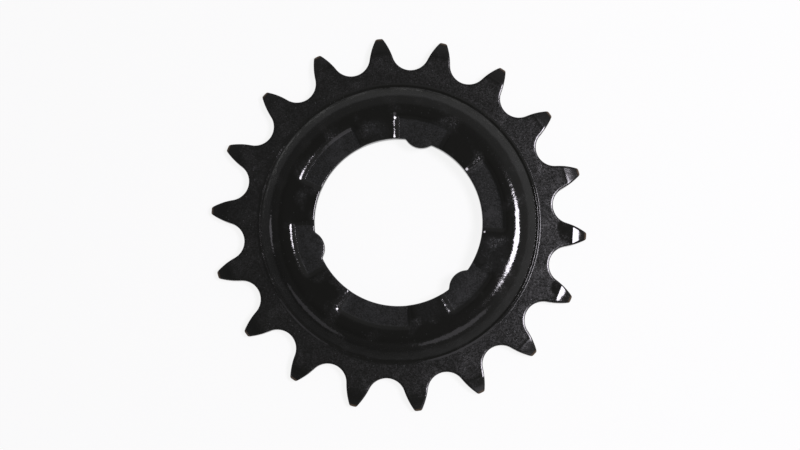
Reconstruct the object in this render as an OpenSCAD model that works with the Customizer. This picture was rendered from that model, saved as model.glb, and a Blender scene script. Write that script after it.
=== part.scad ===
// Bicycle cog, one dished steel piece: a flat toothed ring round a raised hub ring.
// Origin on the axis at the underside of the toothed ring, Z up through the raised side,
// Y through the first lug and the tooth in line with it.

/* [Teeth] */
// Number of teeth
tooth_count = 18; // [17:1:24]
// Distance between chain rollers along the chain
chain_pitch = 12.7; // [12.5:0.1:13.2]
// Diameter of a chain roller
roller_d = 7.75; // [7.5:0.05:8]
// Play between a roller and its seat
seat_play = 0.1; // [0.05:0.05:0.2]
// Height of a tooth above the pitch circle
tip_rise = 2.95; // [2.7:0.05:3.2]
// Width of a tooth on the pitch circle
tooth_w = 4.16; // [4.1:0.02:4.3]
// Width of the blunt end of a tooth
tip_w = 1.4; // [1.2:0.1:1.6]
// Radius of the bulge of a flank
flank_r = 16; // [14:1:20]
// Thickness of the toothed ring
plate_t = 2.3; // [2:0.1:2.6]
// Length of the thinned end of a tooth
thin_len = 3; // [2.4:0.1:3.4]
// Slope of the thinned end on each side
thin_angle = 15; // [8:1:16]

/* [Dish] */
// Height of the hub ring's top above the toothed ring's top
dish_rise = 2.75; // [2.45:0.05:3.05]
// Radius where the flat top of the hub ring ends
dome_start_r = 23.9; // [23.5:0.1:24.2]
// Radius of the rounded shoulder of the dish
dome_r = 5.6; // [5:0.1:6]
// Slope of the dish wall below the shoulder
wall_slope = 43; // [40:1:46]
// Thickness of the hub ring and the dish wall
wall_t = 2.5; // [2.3:0.1:2.7]
// Radius of the section of the fine bead at the foot of the dish
bead_r = 0.4; // [0.35:0.05:0.5]
// Height of the bead above the toothed ring
bead_rise = 0.2; // [0.1:0.05:0.25]
// Distance of the bead's middle outside the foot of the dish
bead_out = 0.28; // [0.2:0.04:0.36]

/* [Bore and lugs] */
// Diameter of the bore
bore_d = 35.1; // [34.5:0.1:35.7]
// Number of driving lugs
lug_count = 3; // [2:1:4]
// Height of a lug inside the bore
lug_h = 1.4; // [1.1:0.05:1.7]
// Radius of the rounded end of a lug
lug_r = 3.8; // [3.4:0.1:4.2]

/* [Recesses] */
// Depth of the recesses in the top of the hub ring
recess_depth = 0.55; // [0.4:0.05:0.7]
// Radius of the recess floors
recess_r = 22; // [21.5:0.1:22.4]
// Lean of the recess walls from the vertical
recess_lean = 60; // [50:2:64]
// Angle taken by a recess round a lug
lug_recess_angle = 27; // [24:1:30]
// Angle taken by a recess between two lugs
plain_recess_angle = 38; // [34:1:42]

/* [Hidden] */
$fn = 120;
step_angle = 360 / tooth_count;
pitch_r = chain_pitch / 2 / sin(step_angle / 2);
seat_r = roller_d / 2 + seat_play;
tip_r = pitch_r + tip_rise;
ring_top = plate_t + dish_rise;
bore_r = bore_d / 2;
lug_step = 360 / lug_count;

// Centre of the rounded shoulder, above and below, and the points where the straight wall begins
dome_z = ring_top - dome_r;
dome_c = [dome_start_r, dome_z];
hollow_r = dome_r - wall_t;
wall_dir = [sin(wall_slope), cos(wall_slope)];
wall_high = dome_c + dome_r * wall_dir;
hollow_high = dome_c + hollow_r * wall_dir;
foot_r = wall_high[0] + (wall_high[1] - plate_t) / tan(wall_slope);
bead_z = plate_t + bead_rise - bead_r;

// Flank circle through the pitch point and the tip point of a tooth
flank_low = [tooth_w / 2, sqrt(pow(pitch_r, 2) - pow(tooth_w / 2, 2))];
flank_high = [tip_w / 2, sqrt(pow(tip_r, 2) - pow(tip_w / 2, 2))];
flank_span = flank_high - flank_low;
flank_back = sqrt(pow(flank_r, 2) - pow(norm(flank_span) / 2, 2));
flank_dir = [-flank_span[1], flank_span[0]] / norm(flank_span);
flank_mid = (flank_low + flank_high) / 2;
flank_c = flank_mid + flank_back * flank_dir;

// Solid disc that reaches up between the seats
overlap = 0.4;
disc_r = pitch_r - overlap * seat_r;

// Turn that brings the first lug onto the Y axis
first_turn = 90;

// Length by which a cutting shape runs past a face
over = 1;

module tooth_outline() {
  intersection() {
    translate(flank_c) circle(r = flank_r);
    translate([-flank_c[0], flank_c[1]]) circle(r = flank_r);
    circle(r = tip_r);
  }
}

module toothed_disc() {
  difference() {
    union() {
      circle(r = disc_r);
      for (k = [0 : tooth_count - 1])
        rotate(k * step_angle - 90) tooth_outline();
    }
    for (k = [0 : tooth_count - 1])
      rotate((k + 0.5) * step_angle) translate([pitch_r, 0]) circle(r = seat_r);
  }
}

module lugged_bore() {
  difference() {
    circle(r = bore_r);
    for (k = [0 : lug_count - 1])
      rotate(k * lug_step) translate([bore_r - lug_h + lug_r, 0]) circle(r = lug_r);
  }
}

module plate_section() {
  thin_start = tip_r - thin_len;
  thin_drop = (thin_len + over) * tan(thin_angle);
  polygon([
    [dome_start_r, 0],
    [thin_start, 0],
    [tip_r + over, thin_drop],
    [tip_r + over, plate_t - thin_drop],
    [thin_start, plate_t],
    [dome_start_r, plate_t]
  ]);
}

module dish_section() {
  low = plate_t / 2;
  low_r = wall_high[0] + (wall_high[1] - low) / tan(wall_slope);
  square([dome_start_r, ring_top]);
  intersection() {
    translate(dome_c) circle(r = dome_r);
    square([foot_r + over, ring_top + over]);
  }
  polygon([[dome_start_r, low], [low_r, low], wall_high]);
}

module hollow_section() {
  low = dome_z - hollow_r / 2;
  low_r = hollow_high[0] + (hollow_high[1] - low) / tan(wall_slope);
  translate([-over, low]) square([dome_start_r + over, dome_z + hollow_r - low]);
  translate(dome_c) circle(r = hollow_r);
  polygon([[dome_start_r, low], [low_r, low], hollow_high]);
}

module cog_section() {
  difference() {
    union() {
      plate_section();
      dish_section();
      translate([foot_r + bead_out, bead_z]) circle(r = bead_r);
    }
    hollow_section();
  }
}

module recess(width) {
  floor_z = ring_top - recess_depth;
  flare = (recess_depth + over) * tan(recess_lean);
  side = 2 * dome_start_r;
  intersection() {
    translate([0, 0, floor_z])
      cylinder(h = recess_depth + over, r1 = recess_r, r2 = recess_r + flare);
    rotate(-width / 2) translate([0, 0, floor_z]) rotate([recess_lean, 0, 0])
      translate([0, 0, -side]) cube([side, side, 2 * side]);
    rotate(width / 2) translate([0, 0, floor_z]) rotate([-recess_lean, 0, 0])
      translate([0, -side, -side]) cube([side, side, 2 * side]);
  }
}

module cog() {
  color([0.05, 0.05, 0.055])
  rotate(first_turn) difference() {
    intersection() {
      rotate_extrude() cog_section();
      translate([0, 0, -over]) linear_extrude(height = ring_top + 2 * over) difference() {
        toothed_disc();
        lugged_bore();
      }
    }
    for (k = [0 : lug_count - 1]) {
      rotate(k * lug_step) recess(lug_recess_angle);
      rotate((k + 0.5) * lug_step) recess(plain_recess_angle);
    }
  }
}

cog();
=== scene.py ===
import math

import bpy
import numpy as np
from bpy.props import FloatProperty, FloatVectorProperty, IntProperty, PointerProperty
from bpy.types import Operator, Panel, PropertyGroup
from mathutils import Matrix, Vector


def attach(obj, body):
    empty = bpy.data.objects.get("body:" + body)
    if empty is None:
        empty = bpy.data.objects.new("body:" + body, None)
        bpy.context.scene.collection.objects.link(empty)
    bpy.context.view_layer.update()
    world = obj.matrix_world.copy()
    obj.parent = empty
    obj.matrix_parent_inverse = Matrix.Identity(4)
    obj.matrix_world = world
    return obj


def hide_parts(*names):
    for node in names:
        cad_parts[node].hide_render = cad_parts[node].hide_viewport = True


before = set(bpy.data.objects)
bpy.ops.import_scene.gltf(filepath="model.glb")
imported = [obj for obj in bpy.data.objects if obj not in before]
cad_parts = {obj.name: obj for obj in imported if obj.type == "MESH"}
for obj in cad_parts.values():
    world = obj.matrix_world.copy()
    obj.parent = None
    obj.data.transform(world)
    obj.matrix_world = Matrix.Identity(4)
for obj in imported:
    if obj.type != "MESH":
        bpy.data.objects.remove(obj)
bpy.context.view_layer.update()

bl_info = {
    "name": "Bicycle cog",
    "version": (1, 0, 0),
    "blender": (4, 5, 0),
    "location": "3D View > Sidebar > Cog",
    "description": "Models a dished, black painted bicycle cog and the stage it is seen on",
    "category": "Add Mesh",
}

PER_METRE = 1000
FULL_TURN = 2 * math.pi

# Gaps in millimetres within which points are merged, are level, or lie on a cut
MERGE_GAP = 0.003
LEVEL_GAP = 0.001
CUT_GAP = 0.0001

# Square of the upward share of a face's normal, below which the face is a wall
WALL_FACING = 0.5


def length(name, description, millimetres):
    """A length that is shown in the scene's unit and given here in millimetres."""
    return FloatProperty(name=name, description=description, default=millimetres / PER_METRE,
                         min=0, precision=5, unit="LENGTH", subtype="DISTANCE")


def angle(name, description, degrees):
    """An angle that is given here in degrees."""
    return FloatProperty(name=name, description=description, default=math.radians(degrees),
                         subtype="ANGLE")


def share(name, description, value):
    """A plain number from nought upwards."""
    return FloatProperty(name=name, description=description, default=value, min=0,
                         subtype="FACTOR")


def colour(name, description, value):
    """A linear colour."""
    return FloatVectorProperty(name=name, description=description, default=value, min=0,
                               soft_max=1, subtype="COLOR")


class CogSizes(PropertyGroup):
    """Sizes of the cog."""
    tooth_count: IntProperty(name="Teeth", description="Number of teeth", default=18, min=9)
    chain_pitch: length("Chain pitch", "Distance between two chain rollers", 12.7)
    seat_r: length("Roller seat", "Radius of a roller seat", 3.975)
    tip_rise: length("Tooth height", "Height of a tooth above the pitch circle", 2.95)
    tooth_w: length("Tooth width", "Width of a tooth on the pitch circle", 4.16)
    tip_w: length("Tip width", "Width of the blunt end of a tooth", 1.4)
    flank_r: length("Flank radius", "Radius of the bulge of a flank", 16)
    plate_t: length("Plate", "Thickness of the toothed ring", 2.3)
    thin_len: length("Thinned end", "Length of the thinned end of a tooth", 3)
    thin_angle: angle("Thinning", "Slope where the thinned end begins", 7.5)
    thin_drop: length("Thinning depth", "Depth of the thinned end at the tip on each side", 0.77)
    thin_turn: length("Thinning edge", "Length over which the thinned end turns down", 0.25)
    edge_roll: length("Edge roll", "Width of the rolled upper edge of the teeth", 0.5)
    edge_drop: length("Edge drop", "Depth of the rolled upper edge of the teeth", 0.15)
    low_edge: length("Lower edge", "Rounding of the lower edges", 0.2)
    ring_top: length("Height", "Height of the hub ring's top", 5.049)
    dome_start_r: length("Flat top", "Radius where the flat top of the hub ring ends", 23.88)
    dome_r: length("Shoulder", "Radius of the rounded shoulder of the dish", 5.3)
    wall_slope: angle("Wall slope", "Slope of the dish wall where the shoulder ends", 39.5)
    wall_r: length("Wall bulge", "Radius of the bulge of the dish wall", 33)
    wall_low: angle("Wall foot slope", "Slope of the dish wall at its foot", 42.5)
    hollow_start_r: length("Hollow", "Radius where the flat roof of the hollow below ends", 23.9)
    hollow_r: length("Hollow shoulder", "Radius of the rounded shoulder of the hollow", 3.1)
    hollow_slope: angle("Hollow slope", "Slope of the wall of the hollow", 43)
    wall_t: length("Wall", "Thickness of the hub ring and the dish", 2.5)
    bead_r: length("Bead", "Radius of the crest of the bead at the foot of the dish", 0.15)
    bead_rise: length("Bead height", "Height of the bead above the plate", 0.22)
    bead_in: angle("Bead inside", "Slope of the bead towards the dish", 12.3)
    bead_out: angle("Bead outside", "Slope of the bead towards the teeth", 27)
    bead_foot: length("Bead foot", "Radius of the foot of the bead towards the teeth", 0.25)
    bead_mid_r: length("Bead circle", "Radius of the circle that the bead follows", 29.3)
    valley_r: length("Valley", "Rounding between the dish wall and the bead", 0.02)
    join_r: length("Plate start", "Radius where the toothed plate takes over", 30.6)
    bore_r: length("Bore", "Radius of the bore", 17.55)
    bore_edge: length("Bore edge", "Rounding of the bore's upper edge", 0.3)
    lug_count: IntProperty(name="Lugs", description="Number of driving lugs", default=3, min=2)
    lug_h: length("Lug height", "Height of a lug inside the bore", 1.4)
    lug_r: length("Lug radius", "Radius of the rounded end of a lug", 3.8)
    lug_blend: length("Lug foot", "Size of the soft foot of a lug", 0.35)
    recess_depth: length("Recess depth", "Depth of the recesses in the hub ring", 0.55)
    recess_r: length("Recess radius", "Radius of the recess floors", 21.63)
    recess_lean: angle("Recess lean", "Lean of the recess walls from the vertical", 60)
    recess_brow: length("Recess brow", "Rounding of a recess wall's upper edge", 2.5)
    recess_foot: length("Recess foot", "Rounding of a recess wall's lower edge", 0.05)
    lug_recess_angle: angle("Lug recess", "Angle taken by a recess round a lug", 27)
    plain_recess_angle: angle("Plain recess", "Angle taken by a recess between lugs", 38)


class CogPaint(PropertyGroup):
    """Finish of the cog."""
    black: colour("Black", "Colour of the paint", (0.006, 0.0061, 0.0049))
    grey: colour("Grey", "Colour of the paler patches of the paint", (0.0088, 0.0088, 0.0076))
    dust: colour("Dust", "Colour of the fine dust in the paint", (0.12, 0.125, 0.13))
    worn: colour("Worn edges", "Colour of the worn edges of the teeth", (0.1, 0.07, 0.044))
    # Pale colour of the painted highlights on the bore's edge and of the painted sheen next to a
    # recess wall
    glint_white: colour("Bare metal", "Colour of the chips in the paint", (0.7, 0.7, 0.7))
    gloss_rough: share("Gloss", "Roughness of the smooth paint", 0.1)
    grain_rough: share("Grain", "Roughness of the grains in the paint", 0.4)
    speck_dust: share("Speck dust", "Share of dust in the specks", 0.35)
    grain_dust: share("Grain dust", "Share of dust in the grain", 0.05)
    tip_wear: share("Tip wear", "Wear of the paint on the tips of the teeth", 0.8)
    edge_wear: share("Edge wear", "Wear of the paint on the edges of the teeth", 0.6)
    relief: length("Relief", "Depth of the relief of the paint", 0.008)


class CogStage(PropertyGroup):
    """Camera, lamps and floor."""
    picture_turn: angle("Picture turn", "Turn from the picture's right to the X axis", 14)
    camera_far: length("Camera distance", "Distance of the camera", 450)
    camera_tilt: angle("Camera tilt", "Tilt of the camera from straight above", 5.5)
    camera_side: angle("Camera side", "Side to which the camera leans, in the picture", -83)
    view_width: length("View width", "Width of the view at the cog", 168.42)
    aim_right: length("Aim right", "Shift of the view to the right of the cog", 0.29)
    aim_down: length("Aim down", "Shift of the view below the cog", 0.3)
    key_far: length("Key distance", "Distance of the main lamp", 450)
    key_side: angle("Key side", "Side of the main lamp, in the picture", 3)
    key_lean: angle("Key lean", "Lean of the main lamp from straight above", 27)
    key_long: length("Key length", "Length of the main lamp", 152)
    key_wide: length("Key width", "Width of the main lamp", 158)
    key_watts: FloatProperty(name="Key power", description="Power of the main lamp",
                             default=1.55, min=0, unit="POWER")
    key_tint: colour("Key colour", "Colour of the main lamp", (1, 0.955, 1.05))
    floor_white: colour("Floor", "Colour of the floor", (0.9, 0.9, 0.9))
    # Painted shade: the dimmer colour that reflections show of the floor beyond the pool of light
    far_floor_shade: colour("Far floor", "Colour of the far floor in reflections", (0.33, 0.33, 0.33))
    pool_long: length("Light pool length", "Half the length of the brightly lit floor", 88)
    pool_wide: length("Light pool width", "Half the width of the brightly lit floor", 52)
    bright_side: angle("Bright side", "Side of the room that is brighter, in the picture", 38)
    horizon: share("Horizon", "Brightness of the room at the horizon", 0.33)
    walls: share("Walls", "Brightness of the room half way up", 0.17)
    ceiling: share("Ceiling", "Brightness of the room overhead", 0.09)
    uneven: share("Unevenness", "Share by which the bright side is brighter", 0.48)


class Sizes:
    """The sizes of a group in millimetres, with angles and counts as they are."""

    def __init__(self, group):
        for name, kind in group.bl_rna.properties.items():
            if name in ("name", "rna_type"):
                continue
            value = getattr(group, name)
            setattr(self, name, value * PER_METRE if kind.unit == "LENGTH" else value)


def start_loop(name, points, fill):
    """Adds a circle with a corner for each point, and sets its corners on the points."""
    bpy.ops.object.select_all(action="DESELECT")
    bpy.ops.mesh.primitive_circle_add(vertices=len(points), radius=1, fill_type=fill,
                                      location=(0, 0, 0))
    piece = bpy.context.object
    piece.name = piece.data.name = name
    piece.data.vertices.foreach_set("co", np.asarray(points, dtype=np.float32).ravel())
    piece.data.update()
    return piece


def choose(piece, kind, test):
    """Goes into edit mode with those corners, edges or faces selected that pass the test."""
    bpy.ops.object.mode_set(mode="EDIT")
    bpy.ops.mesh.select_mode(type=kind)
    bpy.ops.mesh.select_all(action="DESELECT")
    bpy.ops.object.mode_set(mode="OBJECT")
    mesh = piece.data
    parts = {"VERT": mesh.vertices, "EDGE": mesh.edges, "FACE": mesh.polygons}[kind]
    parts.foreach_set("select", [bool(test(part)) for part in parts])
    bpy.ops.object.mode_set(mode="EDIT")


def corners(piece):
    """Places of a piece's corners."""
    places = np.empty(len(piece.data.vertices) * 3, dtype=np.float32)
    piece.data.vertices.foreach_get("co", places)
    return places.reshape(-1, 3).astype(float)


def edge_sides(piece):
    """Number of faces at each edge that has any."""
    sides = {}
    for face in piece.data.polygons:
        for key in face.edge_keys:
            sides[key] = sides.get(key, 0) + 1
    return sides


def circles_meet(middle_a, radius_a, middle_b, radius_b):
    """The two points where two circles cross."""
    a, b = np.asarray(middle_a, float), np.asarray(middle_b, float)
    gap = np.linalg.norm(b - a)
    along = (gap ** 2 + radius_a ** 2 - radius_b ** 2) / (2 * gap)
    aside = math.sqrt(radius_a ** 2 - along ** 2)
    line = (b - a) / gap
    across = np.array([-line[1], line[0]])
    return a + along * line + aside * across, a + along * line - aside * across


def arc(middle, radius, start, stop, steps):
    """Points on an arc, both ends included."""
    turn = np.linspace(start, stop, steps + 1)
    return np.stack([middle[0] + radius * np.cos(turn), middle[1] + radius * np.sin(turn)], 1)


def bearing(middle, point):
    """Direction from a middle to a point."""
    return math.atan2(point[1] - middle[1], point[0] - middle[0])


def tooth_outline(s):
    """Right to left outline of the tooth that stands along Y, from seat bottom to seat bottom."""
    half = math.pi / s.tooth_count
    pitch_r = s.chain_pitch / 2 / math.sin(half)
    tip_r = pitch_r + s.tip_rise
    low = np.array([s.tooth_w / 2, math.sqrt(pitch_r ** 2 - s.tooth_w ** 2 / 4)])
    high = np.array([s.tip_w / 2, math.sqrt(tip_r ** 2 - s.tip_w ** 2 / 4)])
    span = high - low
    reach = np.linalg.norm(span)
    back = math.sqrt(s.flank_r ** 2 - reach ** 2 / 4)
    flank = (low + high) / 2 + back * np.array([-span[1], span[0]]) / reach
    seat = np.array([math.sin(half), math.cos(half)]) * pitch_r
    foot = min(circles_meet(seat, s.seat_r, flank, s.flank_r), key=lambda p: p[0] ** 2)
    brow = max(circles_meet((0, 0), tip_r, flank, s.flank_r), key=lambda p: p[0])
    fine = 200
    seat_stop = bearing(seat, foot) % FULL_TURN
    side = np.concatenate([
        arc(seat, s.seat_r, 1.5 * math.pi - half, seat_stop, fine)[:-1],
        arc(flank, s.flank_r, bearing(flank, foot), bearing(flank, brow), fine)[:-1],
        arc((0, 0), tip_r, bearing((0, 0), brow), math.pi / 2, fine)])
    outline = np.concatenate([side, (side * [-1, 1])[-2::-1]])
    return soften(outline, step=0.02, spread=0.18, count=72)


def soften(outline, step, spread, count):
    """Rounds the corners of an outline, all but its ends, and spaces its points evenly."""
    run = np.append(0, np.cumsum(np.linalg.norm(np.diff(outline, axis=0), axis=1)))
    even = np.arange(0, run[-1], step)
    dense = np.stack([np.interp(even, run, outline[:, axis]) for axis in (0, 1)], 1)
    reach = int(3 * spread / step)
    bell = np.exp(-0.5 * (np.arange(-reach, reach + 1) * step / spread) ** 2)
    bell /= bell.sum()
    round_off = np.stack([np.convolve(dense[:, axis], bell, "same") for axis in (0, 1)], 1)
    from_end = np.minimum(even, even[-1] - even)
    keep = np.clip((from_end - 3 * spread) / spread, 0, 1)[:, None]
    dense = dense * (1 - keep) + round_off * keep
    stops = np.linspace(0, even[-1], count + 1)
    eased = np.stack([np.interp(stops, even, dense[:, axis]) for axis in (0, 1)], 1)
    eased[0], eased[-1] = outline[0], outline[-1]
    return eased


# Width of the strip of plate that is filled in between the hub and the teeth, and slack with
# which its outer rim is found
FILL_WIDTH = 0.6
RIM_SLACK = 0.05


def make_teeth(s):
    """One tooth with its piece of the plate, and then the whole toothed ring."""
    half = math.pi / s.tooth_count
    tip_r = s.chain_pitch / 2 / math.sin(half) + s.tip_rise
    turn = np.linspace(-half, half, num=9)
    inner_r = s.join_r + FILL_WIDTH
    inner = np.stack([np.sin(turn), np.cos(turn)], 1) * inner_r
    outline = np.concatenate([inner, tooth_outline(s)])
    points = np.column_stack([outline, np.full(len(outline), s.plate_t)])
    ring = start_loop("cog_teeth", points, "NGON")

    choose(ring, "FACE", lambda face: True)
    bpy.ops.mesh.extrude_region_move(TRANSFORM_OT_translate={"value": (0, 0, -s.plate_t)})
    bpy.ops.mesh.select_all(action="SELECT")
    bpy.ops.mesh.normals_make_consistent(inside=False)

    def inside_wall(face):
        out = math.hypot(face.center.x, face.center.y)
        aside = abs(math.atan2(face.center.x, face.center.y))
        on_inner_rim = out < inner_r + RIM_SLACK
        on_cut = aside > half - CUT_GAP
        return face.normal.z ** 2 < WALL_FACING and (on_inner_rim or on_cut)

    choose(ring, "FACE", inside_wall)
    bpy.ops.mesh.delete(type="ONLY_FACE")

    # Side of the rim, and the size and steps of its rounding
    rims = ((True, s.edge_roll, 6), (False, s.low_edge, 3))
    for upper, size, steps in rims:
        bpy.ops.object.mode_set(mode="OBJECT")
        flat, wall = set(), set()
        for face in ring.data.polygons:
            if face.normal.z ** 2 < WALL_FACING:
                wall.update(face.edge_keys)
            elif (face.normal.z > 0) == upper:
                flat.update(face.edge_keys)
        rim = flat & wall
        choose(ring, "EDGE", lambda edge: edge.key in rim)
        bpy.ops.mesh.bevel(offset=size, segments=steps, affect="EDGES", clamp_overlap=False)

    thin_y = tip_r - s.thin_len
    turn_cuts = np.linspace(0, s.thin_turn, num=5)
    end_cuts = np.linspace(s.thin_turn, s.thin_len, num=12)[1:-1]
    for past in np.append(turn_cuts, end_cuts):
        choose(ring, "FACE", lambda face: True)
        bpy.ops.mesh.bisect(plane_co=(0, thin_y + past, 0), plane_no=(0, 1, 0),
                            threshold=CUT_GAP)

    bpy.ops.object.mode_set(mode="OBJECT")
    middle = s.plate_t / 2
    start = math.tan(s.thin_angle)
    bulge = (s.thin_drop - start * (s.thin_len - s.thin_turn / 2)) / s.thin_len ** 2
    for corner in ring.data.vertices:
        past = max(0, corner.co.y - thin_y)
        turned = min(past, s.thin_turn)
        drop = start * (turned ** 2 / (2 * s.thin_turn) + past - turned) + bulge * past ** 2
        if corner.co.z > middle:
            rolled = (s.plate_t - corner.co.z) * s.edge_drop / s.edge_roll
            corner.co.z = s.plate_t - rolled - drop
        else:
            corner.co.z += drop

    choose(ring, "FACE", lambda face: True)
    copies = s.tooth_count - 1
    bpy.ops.mesh.spin(steps=copies, angle=FULL_TURN * copies / s.tooth_count, dupli=True,
                      center=(0, 0, 0), axis=(0, 0, 1))
    bpy.ops.mesh.select_all(action="SELECT")
    bpy.ops.mesh.remove_doubles(threshold=MERGE_GAP)
    bpy.ops.object.mode_set(mode="OBJECT")
    return ring


# Points of a recess wall's foot and brow, and steps of its straight stretch
FOOT_POINTS = 4
BROW_POINTS = 11
STRAIGHT_STEPS = 3

# Steps of turn across the rest of a lug's recess, across a pad and across half a plain recess
LUG_FLOOR_STEPS = 3
PAD_STEPS = 12
PLAIN_FLOOR_STEPS = 10

# Distance from the axis at which the walls at the ends of a recess have their true section
WALL_R = 20

# Turn in degrees on each side of a lug in which the bore is shaped, and its steps
LUG_REACH = 11
LUG_STEPS = 22


def recess_wall(s):
    """Section of a recess wall: distance outside the floor's edge, and share of the depth."""
    slope = math.pi / 2 - s.recess_lean
    run = s.recess_depth * math.tan(s.recess_lean)
    foot_start = -s.recess_foot * math.tan(slope / 2)
    brow_stop = run + s.recess_brow * math.tan(slope / 2)
    low = np.linspace(0, slope, FOOT_POINTS)
    high = np.linspace(slope, 0, BROW_POINTS)
    away = np.concatenate([foot_start + s.recess_foot * np.sin(low),
                           brow_stop - s.recess_brow * np.sin(high)])
    rise = np.concatenate([s.recess_foot * (1 - np.cos(low)),
                           s.recess_depth - s.recess_brow * (1 - np.cos(high))])
    return away, 1 - rise / s.recess_depth


def spoke_stops(s):
    """Turns from the middle of a lug to that of the next plain recess, and steps up to each."""
    away, _ = recess_wall(s)
    rows = [away[0], away[FOOT_POINTS - 1], away[FOOT_POINTS], away[-1]]
    turns = [row / WALL_R for row in rows]
    lug_half, plain_half = s.lug_recess_angle / 2, s.plain_recess_angle / 2
    third_half = math.pi / s.lug_count
    up_wall = (LUG_FLOOR_STEPS, FOOT_POINTS - 1, STRAIGHT_STEPS, BROW_POINTS - 1)
    down_wall = (PAD_STEPS, BROW_POINTS - 1, STRAIGHT_STEPS, FOOT_POINTS - 1)
    stops = [(math.radians(LUG_REACH), LUG_STEPS)]
    stops += [(lug_half + turn, steps) for turn, steps in zip(turns, up_wall)]
    stops += [(third_half - plain_half - turn, steps)
              for turn, steps in zip(turns[::-1], down_wall)]
    return stops + [(third_half, PLAIN_FLOOR_STEPS)]


def downhill(slope):
    """Direction outwards and down at a slope."""
    return np.array([math.cos(slope), -math.sin(slope)])


def curve(start, radius, slope, next_slope, steps):
    """Points outwards from a start on an arc that turns from one downward slope to the next."""
    turn = np.linspace(slope, next_slope, steps + 1)
    bend = radius * np.sign(next_slope - slope)
    return np.stack([start[0] + bend * (np.sin(turn) - math.sin(slope)),
                     start[1] + bend * (np.cos(turn) - math.cos(slope))], 1)


# Distances from the axis of single rings of points: outside the recess walls, across the pads
# and the recess floors, across the roof of the hollow, and below the plate
BROW_RING = 23.5
PAD_RINGS = (21.4, 20.7, 20, 19.3, 18.6)
ROOF_RINGS = (19.5, 21.5)
LOW_RING = 29.2

# Width of the narrow strip round the bead, and drop of the ring of points in the bore
BEAD_STRIP = 0.15
BORE_RING_DROP = 0.3


def dish_top(s):
    """Upper section of the dish from the plate inwards: bead, valley, wall and shoulder."""
    dome = curve((s.dome_start_r, s.ring_top), s.dome_r, 0, s.wall_slope, steps=18)
    wall = curve(dome[-1], s.wall_r, s.wall_slope, s.wall_low, steps=5)
    bead = np.array([s.bead_mid_r, s.plate_t + s.bead_rise - s.bead_r])
    inside = bead + s.bead_r * np.array([-math.sin(s.bead_in), math.cos(s.bead_in)])
    crest = curve(inside, s.bead_r, -s.bead_in, s.bead_out, steps=8)
    down, up = downhill(s.wall_low), downhill(-s.bead_in)
    run, _ = np.linalg.solve(np.column_stack([down, up]), inside - wall[-1])
    run -= s.valley_r * math.tan((s.wall_low + s.bead_in) / 2)
    valley = curve(wall[-1] + run * down, s.valley_r, s.wall_low, -s.bead_in, steps=3)
    drop = crest[-1][1] - s.plate_t - s.bead_foot * (1 - math.cos(s.bead_out))
    foot = crest[-1] + drop / math.sin(s.bead_out) * downhill(s.bead_out)
    foot = curve(foot, s.bead_foot, s.bead_out, 0, steps=4)
    points = [[s.join_r, s.plate_t], [foot[-1][0] + BEAD_STRIP, s.plate_t]]
    for part in (foot, crest, valley, wall[1:], dome):
        points += list(part[::-1])
    return points


def section(s):
    """Half section of the dish and the hub ring: over the top, down the bore and back below."""
    low = s.ring_top - s.wall_t
    points = dish_top(s)
    away, _ = recess_wall(s)
    points += [[BROW_RING, s.ring_top]]
    points += [[s.recess_r + row, s.ring_top] for row in away[::-1]]
    points += [[radius, s.ring_top] for radius in PAD_RINGS]
    edge = (s.bore_r + s.bore_edge, s.ring_top - s.bore_edge)
    points += list(arc(edge, s.bore_edge, math.pi / 2, math.pi, steps=5))
    points += [[s.bore_r, s.ring_top - s.recess_depth - s.bore_edge - BORE_RING_DROP]]
    edge = (s.bore_r + s.low_edge, low + s.low_edge)
    points += list(arc(edge, s.low_edge, math.pi, 1.5 * math.pi, steps=4))
    points += [[radius, low] for radius in ROOF_RINGS]
    hollow = (s.hollow_start_r, low - s.hollow_r)
    points += list(arc(hollow, s.hollow_r, math.pi / 2, math.pi / 2 - s.hollow_slope, steps=9))
    slope = math.tan(s.hollow_slope)
    mouth = points[-1][0] + points[-1][1] / slope
    # Rounding of the hollow's mouth: distance outside the sharp mouth, and height
    rounding = ((-0.5, 0.5 * slope), (-0.26, 0.28 * slope), (0, 0.1), (0.35, 0))
    points += [[mouth + outside, height] for outside, height in rounding]
    points += [[LOW_RING, 0], [s.join_r, 0]]
    return np.array(points)


def lug_outline(s, turn):
    """Radius of the bore at a turn from the middle of a lug."""
    middle = s.bore_r - s.lug_h + s.lug_r
    under = s.lug_r ** 2 - (middle * math.sin(turn)) ** 2
    lug = middle * math.cos(turn) - math.sqrt(under) if under > 0 else s.bore_r + s.lug_r
    mix = max(0, 1 - abs(lug - s.bore_r) / s.lug_blend)
    return min(lug, s.bore_r) - s.lug_blend * mix ** 2 / 4


# Slack in millimetres and in turn with which the points of a bore spoke are picked
BORE_SLACK = 0.1
SPOKE_SLACK = 0.001


def shape_lugs(s, hub, out, aside):
    """Draws the bore wall in to the lugs, spoke by spoke."""
    near_bore = out < s.bore_r + s.bore_edge + BORE_SLACK
    for step in range(LUG_STEPS + 1):
        turn = math.radians(step * LUG_REACH / LUG_STEPS)
        spoke = near_bore & (np.abs(aside - turn) < SPOKE_SLACK)
        scale = lug_outline(s, turn) / s.bore_r
        choose(hub, "VERT", lambda corner: spoke[corner.index])
        bpy.ops.transform.resize(value=(scale, scale, 1), center_override=(0, 0, 0))
    bpy.ops.object.mode_set(mode="OBJECT")


# Height above the recess floors, and distance past them, that bound the points that are pressed
PRESS_ABOVE = 0.2
PRESS_PAST = 2


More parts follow.
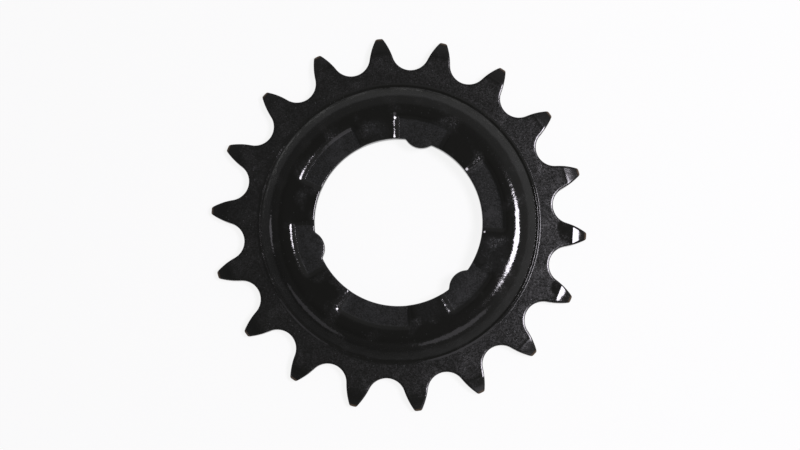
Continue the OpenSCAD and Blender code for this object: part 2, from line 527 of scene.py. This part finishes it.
def press_recesses(s, hub, height, out, aside):
    """Presses the recesses round the lugs and between them into the top of the hub ring."""
    away, pressed = recess_wall(s)
    outside = out - s.recess_r
    depth = np.zeros(len(out))
    recesses = ((s.lug_recess_angle / 2, aside),
                (s.plain_recess_angle / 2, math.pi / s.lug_count - aside))
    for half, turn in recesses:
        beyond = (turn - half) * WALL_R
        gap = np.hypot(np.maximum(outside, 0), np.maximum(beyond, 0))
        gap += np.minimum(np.maximum(outside, beyond), 0)
        depth = np.maximum(depth, np.interp(gap, away, pressed))
    upper = height > s.ring_top - s.recess_depth + PRESS_ABOVE
    group = hub.vertex_groups.new(name="recess")
    for index in np.nonzero(upper & (outside < PRESS_PAST) & (depth > 0))[0]:
        group.add([int(index)], float(depth[index]), "REPLACE")
    press = hub.modifiers.new("press", "DISPLACE")
    press.direction, press.vertex_group = "Z", group.name
    press.mid_level, press.strength = 0, -s.recess_depth
    bpy.ops.object.modifier_apply(modifier=press.name)
    hub.vertex_groups.remove(hub.vertex_groups["recess"])


def make_hub(s):
    """Dish and hub ring: the section spun in uneven steps, with lugs and pressed recesses."""
    outline = section(s)
    points = np.column_stack([np.zeros(len(outline)), outline])
    hub = start_loop("cog", points, "NOTHING")

    def closing(edge):
        return set(edge.vertices) == {0, len(outline) - 1}

    choose(hub, "EDGE", closing)
    bpy.ops.mesh.delete(type="EDGE")
    bpy.ops.mesh.select_all(action="SELECT")
    there = []
    past = 0
    for stop, steps in spoke_stops(s):
        there.append((stop - past, steps))
        past = stop
    for swing, steps in (there + there[::-1]) * s.lug_count:
        bpy.ops.mesh.spin(steps=steps, angle=swing, center=(0, 0, 0), axis=(0, 0, 1),
                          use_auto_merge=False)
    bpy.ops.mesh.select_all(action="SELECT")
    bpy.ops.mesh.remove_doubles(threshold=MERGE_GAP)
    bpy.ops.object.mode_set(mode="OBJECT")

    across, along, height = corners(hub).T
    out = np.hypot(across, along)
    third = FULL_TURN / s.lug_count
    aside = np.abs((np.arctan2(across, along) + third / 2) % third - third / 2)
    shape_lugs(s, hub, out, aside)
    press_recesses(s, hub, height, out, aside)
    return hub


# Angle in degrees past which an edge is drawn sharp
SHARP_ANGLE = 42


def join_plate(s, hub, ring):
    """Joins the toothed ring to the hub and closes the plate between them, above and below."""
    bpy.ops.object.select_all(action="DESELECT")
    ring.select_set(True)
    hub.select_set(True)
    bpy.context.view_layer.objects.active = hub
    bpy.ops.object.join()
    for height in (s.plate_t, 0):
        bpy.ops.object.mode_set(mode="OBJECT")
        sides = edge_sides(hub)

        def open_rim(edge):
            level = [abs(hub.data.vertices[index].co.z - height) for index in edge.vertices]
            return sides.get(edge.key, 0) == 1 and max(level) < LEVEL_GAP

        choose(hub, "EDGE", open_rim)
        bpy.ops.mesh.fill(use_beauty=True)
    bpy.ops.mesh.select_all(action="SELECT")
    bpy.ops.mesh.remove_doubles(threshold=MERGE_GAP)
    bpy.ops.mesh.normals_make_consistent(inside=False)
    bpy.ops.transform.resize(value=(1 / PER_METRE,) * 3, center_override=(0, 0, 0))
    bpy.ops.object.mode_set(mode="OBJECT")
    bpy.ops.object.shade_smooth_by_angle(angle=math.radians(SHARP_ANGLE))
    even = hub.modifiers.new("even", "WEIGHTED_NORMAL")
    even.keep_sharp = True
    bpy.ops.object.modifier_apply(modifier=even.name)


class Value:
    """A socket in a node tree. Sums on it become Math nodes."""

    def __init__(self, tree, socket):
        self.tree, self.socket = tree, socket

    def math(self, operation, first, second):
        return self.tree.node("ShaderNodeMath", {"operation": operation}, {0: first, 1: second})

    def __add__(self, other):
        return self.math("ADD", self, other)

    def __sub__(self, other):
        return self.math("SUBTRACT", self, other)

    def __rsub__(self, other):
        return self.math("SUBTRACT", other, self)

    def __mul__(self, other):
        return self.math("MULTIPLY", self, other)

    def __pow__(self, other):
        return self.math("POWER", self, other)

    def __gt__(self, other):
        return self.math("GREATER_THAN", self, other)

    def __lt__(self, other):
        return self.math("LESS_THAN", self, other)

    __radd__, __rmul__ = __add__, __mul__


class Nodes:
    """A node tree that is filled one node at a time."""

    def __init__(self, owner):
        owner.use_nodes = True
        self.tree = owner.node_tree
        self.tree.nodes.clear()

    def node(self, kind, settings, sockets, output=0):
        made = self.tree.nodes.new(kind)
        for name, value in settings.items():
            setattr(made, name, value)
        for name, value in sockets.items():
            if isinstance(value, Value):
                self.tree.links.new(value.socket, made.inputs[name])
            else:
                made.inputs[name].default_value = value
        return Value(self, made.outputs[output]) if made.outputs else made

    def between(self, value, start, stop):
        """Nought at the start, one at the stop, soft between them and level beyond."""
        return self.node("ShaderNodeMapRange", {"interpolation_type": "SMOOTHSTEP"},
                         {"Value": value, "From Min": start, "From Max": stop})

    def spread(self, value, ends):
        """The first end where the value is nought and the second where it is one."""
        low, high = ends
        return low + (high - low) * value

    def along(self, place, way):
        """Distance of a place along a direction."""
        return self.node("ShaderNodeVectorMath", {"operation": "DOT_PRODUCT"},
                         {0: place, 1: way}, "Value")

    def spot(self, place, turn, away, height, size, soft):
        """One inside a ball at a turn in degrees, a distance from the axis and a height."""
        turn = math.radians(turn)
        middle = (away * math.cos(turn), away * math.sin(turn), height)
        gap = self.node("ShaderNodeVectorMath", {"operation": "DISTANCE"},
                        {0: place, 1: middle}, "Value")
        return self.between(gap, size + soft, size - soft)

    def noise(self, place, scale, detail):
        """Soft noise, with a number of waves to the millimetre."""
        return self.node("ShaderNodeTexNoise", {},
                         {"Vector": place, "Scale": scale, "Detail": detail})

    def random_cell(self, place, scale):
        """A random number for each grain, with a number of grains to the millimetre."""
        grains = self.node("ShaderNodeTexVoronoi", {}, {"Vector": place, "Scale": scale}, "Color")
        return self.node("ShaderNodeSeparateColor", {}, {0: grains})

    def blend(self, factor, first, second):
        """Mix of two colours."""
        return self.node("ShaderNodeMix", {"data_type": "RGBA"},
                         {0: factor, 6: first, 7: second}, 2)


# Where the zones of the paint set in or go out, in millimetres: the grain of the plate, past the
# bead's circle; the grain of the teeth, the sheen of their ends and the wear of their tips, from
# the axis; the dust of the recess floors, above them
PLATE_FADE = (0.15, 0.45)
TOOTH_FADE = (37, 35.4)
END_FADE = (36.3, 36.7)
TIP_FADE = (39, 39.3)
FLOOR_FADE = (0.2, 0.05)

# Distances past the edge of a recess floor and below it that still count as the floor
FLOOR_PAST = 0.3
FLOOR_BELOW = 0.2

# Square of the upward share of the normal on the worn edges of the teeth
EDGE_FADE = (0.49, 0.09)

# Teeth with a spot that has no grain: turn in degrees, distance from the axis and size of the spot
BARE_TEETH = ((12, 36.3, 3), (-8, 36.4, 1.8))
BARE_SOFT = 0.3

# Size by which the spot reaches further on the thinned end of its tooth
BARE_END = 1.5


class Zones:
    """Parts of the cog that its paint tells apart: one on the part, nought elsewhere."""

    def __init__(self, t, s, grid):
        across = t.node("ShaderNodeSeparateXYZ", {}, {0: grid}, 0)
        others = across.socket.node.outputs
        along, height = Value(t, others[1]), Value(t, others[2])
        out = (across * across + along * along) ** 0.5
        grain_start, grain_full = (s.bead_mid_r + past for past in PLATE_FADE)
        plate = t.between(out, grain_start, grain_full) * t.between(out, *TOOTH_FADE)
        ends = t.between(out, *END_FADE)
        for turn, away, size in BARE_TEETH:
            plate = plate * (1 - t.spot(grid, turn, away, s.plate_t, size, BARE_SOFT))
            end = t.spot(grid, turn, away, s.plate_t, size + BARE_END, BARE_SOFT)
            ends = ends * (1 - end)
        floor_z = s.ring_top - s.recess_depth
        dust_start, dust_full = (floor_z + above for above in FLOOR_FADE)
        floors = t.between(height, dust_start, dust_full) * (out < s.recess_r + FLOOR_PAST)
        floors = floors * (height > floor_z - FLOOR_BELOW) * (out > s.bore_r - s.lug_h)
        facing = t.node("ShaderNodeNewGeometry", {}, {}, "Normal")
        upright = t.node("ShaderNodeSeparateXYZ", {}, {0: facing}, 2)
        self.plate, self.ends, self.floors = plate, ends, floors
        self.smooth = (1 - plate) * (1 - floors)
        self.pads = self.smooth * (out < s.dome_start_r) * (height > floor_z)
        self.dish = out < s.bead_mid_r
        self.tips = t.between(out, *TIP_FADE)
        self.edges = t.between(upright * upright, *EDGE_FADE) * (out > s.join_r)


# Paler patches: waves to the millimetre, the noise at which they set in, and the place in the
# noise that lays them where they are seen
PATCH_SCALE = 0.24
PATCH_FADE = (0.5, 0.68)
PATCH_SHIFT = (56, 25, 0)

# Grains to the millimetre, and the least and most grain on each part
GRAIN_SCALE = 4.4
PLATE_GRAIN = (0.15, 0.61)
PLATE_PATCH_GRAIN = (0.95, 1.15)
FLOOR_GRAIN = (0.15, 0.33)
END_GRAIN = (0.2, 0.35)
PATCH_GRAIN = 0.6
PATCH_GRAIN_FADE = (0.5, 1)

# Specks of dust: cells to the millimetre, fade from a cell's middle, random number above which
# a cell has a speck, and strength off the plate and on it
SPECK_SCALE = 1.3
SPECK_FADE = (0.17, 0.08)
SPECK_RARE = 0.66
SPECK_STRENGTH = (0.4, 1)

# Dust on the recess floors and in the pale spots of the pads
FLOOR_DUST = (0.02, 0.1)
FLOOR_PATCH_DUST = 0.04
PAD_DUST = (0.02, 0.13)
PAD_PATCH_DUST = 0.4

# Pads with dusty paint: turn in degrees, distance from the axis and size of the dusty spot
PALE_PADS = ((117, 19.3, 2.4), (303, 19, 2.6), (355, 20.5, 3.6))
PALE_SOFT = 1.2
PALE_PATCH = (0.5, 1)

# Painted highlights, as pale spots: two glints on the bore's upper edge and a faint painted sheen
# next to a recess wall: turn in degrees, distance from the axis, size, softness and strength
PAINTED_GLINTS = ((51.6, 18.1, 0.3, 0.12, 1), (7.3, 18.1, 0.18, 0.08, 1), (106, 22.8, 0.25, 0.25, 0.1))

# Relief of the paint: broad peel and fine ripples to the millimetre, and the height of the
# specks, the peel and the ripples, these on the plate and on the dish
PEEL_SCALE = 0.5
RIPPLE_SCALE = 2.2
SPECK_RELIEF = 0.5
PEEL_RELIEF = 5
RIPPLE_RELIEF = (0.5, 2)

# Refraction of the paint
PAINT_IOR = 1.55


def black_paint(paint, s):
    """Black stove enamel: smooth on the dish and the pads, grainy on the plate and the floors."""
    material = bpy.data.materials.new("black_paint")
    t = Nodes(material)
    place = t.node("ShaderNodeTexCoord", {}, {}, "Object")
    grid = t.node("ShaderNodeVectorMath", {"operation": "SCALE"},
                  {0: place, "Scale": float(PER_METRE)})
    on = Zones(t, s, grid)

    moved = t.node("ShaderNodeVectorMath", {"operation": "ADD"}, {0: grid, 1: PATCH_SHIFT})
    patch = t.between(t.noise(moved, PATCH_SCALE, detail=3.0), *PATCH_FADE)
    grain = t.random_cell(grid, GRAIN_SCALE)
    grains = on.plate * t.spread(patch, PLATE_PATCH_GRAIN) * t.spread(grain, PLATE_GRAIN)
    grains = grains + on.floors * t.spread(grain, FLOOR_GRAIN)
    grains = grains + on.smooth * patch * t.between(grain, *PATCH_GRAIN_FADE) * PATCH_GRAIN
    grains = grains + on.ends * t.spread(grain, END_GRAIN)
    rough = paint.gloss_rough + grains * (paint.grain_rough - paint.gloss_rough)

    cells = t.node("ShaderNodeTexVoronoi", {}, {"Vector": grid, "Scale": SPECK_SCALE})
    speck = t.between(cells, *SPECK_FADE) * (t.random_cell(grid, SPECK_SCALE) > SPECK_RARE)
    speck = speck * t.spread(on.plate, SPECK_STRENGTH)
    pale = patch * PAD_PATCH_DUST
    for turn, away, size in PALE_PADS:
        spot = t.spot(grid, turn, away, s.ring_top, size, PALE_SOFT)
        pale = pale + spot * t.spread(patch, PALE_PATCH)
    dust = on.floors * (t.spread(grain, FLOOR_DUST) + FLOOR_PATCH_DUST * patch)
    dust = dust + on.pads * pale * t.spread(grain, PAD_DUST)
    dust = speck * paint.speck_dust + grains * paint.grain_dust + dust
    worn = on.tips * paint.tip_wear + on.edges * paint.edge_wear
    # Painted highlights: pale spots on the bore's edge and a faint painted sheen next to a recess
    # wall
    painted_glint = 0.0
    for turn, away, size, soft, strength in PAINTED_GLINTS:
        painted_glint = painted_glint + t.spot(grid, turn, away, s.ring_top, size, soft) * strength
    tint = t.blend(patch, (*paint.black, 1), (*paint.grey, 1))
    tint = t.blend(dust, tint, (*paint.dust, 1))
    tint = t.blend(worn, tint, (*paint.worn, 1))
    tint = t.blend(painted_glint, tint, (*paint.glint_white, 1))

    peel = t.noise(grid, PEEL_SCALE, detail=1.0)
    ripple = t.noise(grid, RIPPLE_SCALE, detail=1.0)
    relief = speck * SPECK_RELIEF + peel * PEEL_RELIEF + ripple * t.spread(on.dish, RIPPLE_RELIEF)
    bump = t.node("ShaderNodeBump", {},
                  {"Height": relief, "Strength": 1.0, "Distance": paint.relief})
    shader = t.node("ShaderNodeBsdfPrincipled", {}, {
        "Base Color": tint, "Roughness": rough, "Normal": bump, "IOR": PAINT_IOR})
    t.node("ShaderNodeOutputMaterial", {}, {0: shader})
    return material


# Share of its white that the floor shows by itself, to the camera and in reflections
SELF_LIT = 0.88

# Size of the painted pool of light, with its soft rim, as a share of the pool
POOL_RIM = 1.5


def white_floor(stage):
    """White paper, self-lit. Reflections show it white in a painted pool of light near the cog and
    darker, as painted shade, away from it.
    """
    material = bpy.data.materials.new("white_paper")
    t = Nodes(material)
    seen = t.node("ShaderNodeLightPath", {}, {}, "Is Camera Ray")
    path = seen.socket.node.outputs
    mirrored = Value(t, path["Is Glossy Ray"]) + Value(t, path["Is Transmission Ray"])
    place = t.node("ShaderNodeTexCoord", {}, {}, "Object")
    near = 1.0
    for turn, reach in ((0, stage.pool_long), (math.pi / 2, stage.pool_wide)):
        along = t.along(place, toward(stage.picture_turn + turn, math.pi / 2))
        near = near * t.between(along * along, (POOL_RIM * reach) ** 2, reach ** 2)
    # Painted shade on the floor beyond the pool of light, seen only in reflections
    far = (1 - near) * mirrored
    paper = t.node("ShaderNodeBsdfPrincipled", {}, {
        "Base Color": (*stage.floor_white, 1), "Roughness": 1.0, "Specular IOR Level": 0.0})
    tint = t.blend(far, (1, 1, 1, 1), (*stage.far_floor_shade, 1))
    white = t.node("ShaderNodeEmission", {}, {"Color": tint, "Strength": 1.0})
    lit = (seen + mirrored) * SELF_LIT + far * (1 - SELF_LIT)
    both = t.node("ShaderNodeMixShader", {}, {0: lit, 1: paper, 2: white})
    t.node("ShaderNodeOutputMaterial", {}, {0: both})
    return material


# Rise of the view from the horizon to the walls of the room, and from the walls to the ceiling
WALL_RISE = (0.1, 0.32)
CEILING_RISE = (0.75, 0.93)

ROOM_TINT = (1, 1, 1.03, 1)
BLACK = (0, 0, 0, 1)


def dim_room(stage):
    """A dim room, paler at the horizon and on one side."""
    world = bpy.data.worlds.new("dim_room")
    bpy.context.scene.world = world
    t = Nodes(world)
    way = t.node("ShaderNodeTexCoord", {}, {}, "Generated")
    facing = t.along(way, toward(stage.picture_turn + stage.bright_side, math.pi / 2))
    rise = t.node("ShaderNodeSeparateXYZ", {}, {0: way}, 2)
    level = stage.horizon + t.between(rise, *WALL_RISE) * (stage.walls - stage.horizon)
    level = level + t.between(rise, *CEILING_RISE) * (stage.ceiling - stage.walls)
    level = level * (1 + facing * stage.uneven)
    tint = t.blend(level, BLACK, ROOM_TINT)
    back = t.node("ShaderNodeBackground", {}, {"Color": tint, "Strength": 1.0})
    t.node("ShaderNodeOutputWorld", {}, {0: back})


def toward(side, lean):
    """Direction at a turn from the X axis and a lean from straight up."""
    flat = math.sin(lean)
    return Vector((math.cos(side) * flat, math.sin(side) * flat, math.cos(lean)))


def look(place, target, up):
    """Matrix of a camera or lamp at a place, with its back away from the target."""
    back = (place - target).normalized()
    right = up.cross(back).normalized()
    turned = Matrix((right, back.cross(right), back)).transposed().to_4x4()
    return Matrix.Translation(place) @ turned


class COG_OT_piece(Operator):
    """Model the cog as one piece and paint it black"""
    bl_idname = "cog.piece"
    bl_label = "Make the cog"

    def execute(self, context):
        s = Sizes(context.scene.cog_sizes)
        ring = make_teeth(s)
        hub = make_hub(s)
        join_plate(s, hub, ring)
        hub.name = hub.data.name = "cog_painted"
        loose = sum(count != 2 for count in edge_sides(hub).values())
        if loose:
            raise RuntimeError(f"the cog isn't closed: {loose} edges")
        hub.data.materials.clear()
        hub.data.materials.append(black_paint(context.scene.cog_paint, s))
        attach(hub, "root")
        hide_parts("cog")
        return {"FINISHED"}


# Size of the floor and its gap below the cog, in metres
FLOOR_SIZE = 6
FLOOR_GAP = 0.00002

# Width of the camera's sensor in millimetres, and the range that it sees in metres
SENSOR = 36
CLIP_START = 0.01
CLIP_END = 20

UPWARDS = Vector((0, 0, 1))

# Pale cards round the cog: name, side in the picture and lean in degrees, width and length in
# metres, watts
CARDS = (
    ("card_left", 179, 71.3, 0.12, 0.08, 0.031),
    ("card_low_left", 222, 59, 0.26, 0.13, 0.035),
    ("card_low_right", 300, 46, 0.24, 0.17, 0.06),
)


def set_camera(stage, middle):
    """Sets the camera above the cog, leaning to one side of the picture."""
    right = toward(stage.picture_turn, math.pi / 2)
    up = toward(stage.picture_turn + math.pi / 2, math.pi / 2)
    aim = middle + right * stage.aim_right - up * stage.aim_down
    back = toward(stage.picture_turn + stage.camera_side, stage.camera_tilt)
    bpy.ops.object.camera_add()
    camera = bpy.context.object
    camera.matrix_world = look(aim + back * stage.camera_far, aim, up)
    camera.data.sensor_width = SENSOR
    camera.data.lens = SENSOR * stage.camera_far / stage.view_width
    camera.data.clip_start, camera.data.clip_end = CLIP_START, CLIP_END
    bpy.context.scene.camera = camera


def set_lamps(stage, middle):
    """Sets the main lamp and the pale cards round the cog."""
    lamps = [("key", stage.key_side, stage.key_lean, stage.key_wide, stage.key_long,
              stage.key_watts)]
    lamps += [(name, math.radians(side), math.radians(lean), wide, long, watts)
              for name, side, lean, wide, long, watts in CARDS]
    for name, side, lean, wide, long, watts in lamps:
        bpy.ops.object.light_add(type="AREA")
        lamp = bpy.context.object
        lamp.name = name
        turn = stage.picture_turn + side
        place = middle + toward(turn, lean) * stage.key_far
        lamp.matrix_world = look(place, middle, UPWARDS)
        lamp.data.shape = "ELLIPSE"
        lamp.data.size, lamp.data.size_y = wide, long
        lamp.data.energy = watts
        lamp.data.color = stage.key_tint


class COG_OT_stage(Operator):
    """Lay a white floor and set the camera, the lamp and the room"""
    bl_idname = "cog.stage"
    bl_label = "Set the stage"

    def execute(self, context):
        stage = context.scene.cog_stage
        bpy.ops.object.select_all(action="DESELECT")
        bpy.ops.mesh.primitive_plane_add(size=FLOOR_SIZE, location=(0, 0, -FLOOR_GAP))
        floor = context.object
        floor.name = "floor"
        floor.data.materials.append(white_floor(stage))

        middle = Vector((0, 0, context.scene.cog_sizes.plate_t / 2))
        set_camera(stage, middle)
        set_lamps(stage, middle)
        dim_room(stage)
        context.scene.view_settings.view_transform = "Standard"
        return {"FINISHED"}


class COG_PT_panel(Panel):
    """Sizes, finish and stage of the cog"""
    bl_idname = "COG_PT_panel"
    bl_label = "Bicycle cog"
    bl_space_type = "VIEW_3D"
    bl_region_type = "UI"
    bl_category = "Cog"

    def draw(self, context):
        for group in (context.scene.cog_sizes, context.scene.cog_paint, context.scene.cog_stage):
            box = self.layout.box()
            for name in group.bl_rna.properties.keys():
                if name not in ("name", "rna_type"):
                    box.prop(group, name)
        self.layout.operator(COG_OT_piece.bl_idname)
        self.layout.operator(COG_OT_stage.bl_idname)


CLASSES = (CogSizes, CogPaint, CogStage, COG_OT_piece, COG_OT_stage, COG_PT_panel)


def register():
    for kind in CLASSES:
        bpy.utils.register_class(kind)
    bpy.types.Scene.cog_sizes = PointerProperty(type=CogSizes)
    bpy.types.Scene.cog_paint = PointerProperty(type=CogPaint)
    bpy.types.Scene.cog_stage = PointerProperty(type=CogStage)


def unregister():
    del bpy.types.Scene.cog_stage
    del bpy.types.Scene.cog_paint
    del bpy.types.Scene.cog_sizes
    for kind in reversed(CLASSES):
        bpy.utils.unregister_class(kind)


def main():
    register()
    bpy.ops.cog.piece()
    bpy.ops.cog.stage()


if __name__ == "__main__":
    main()
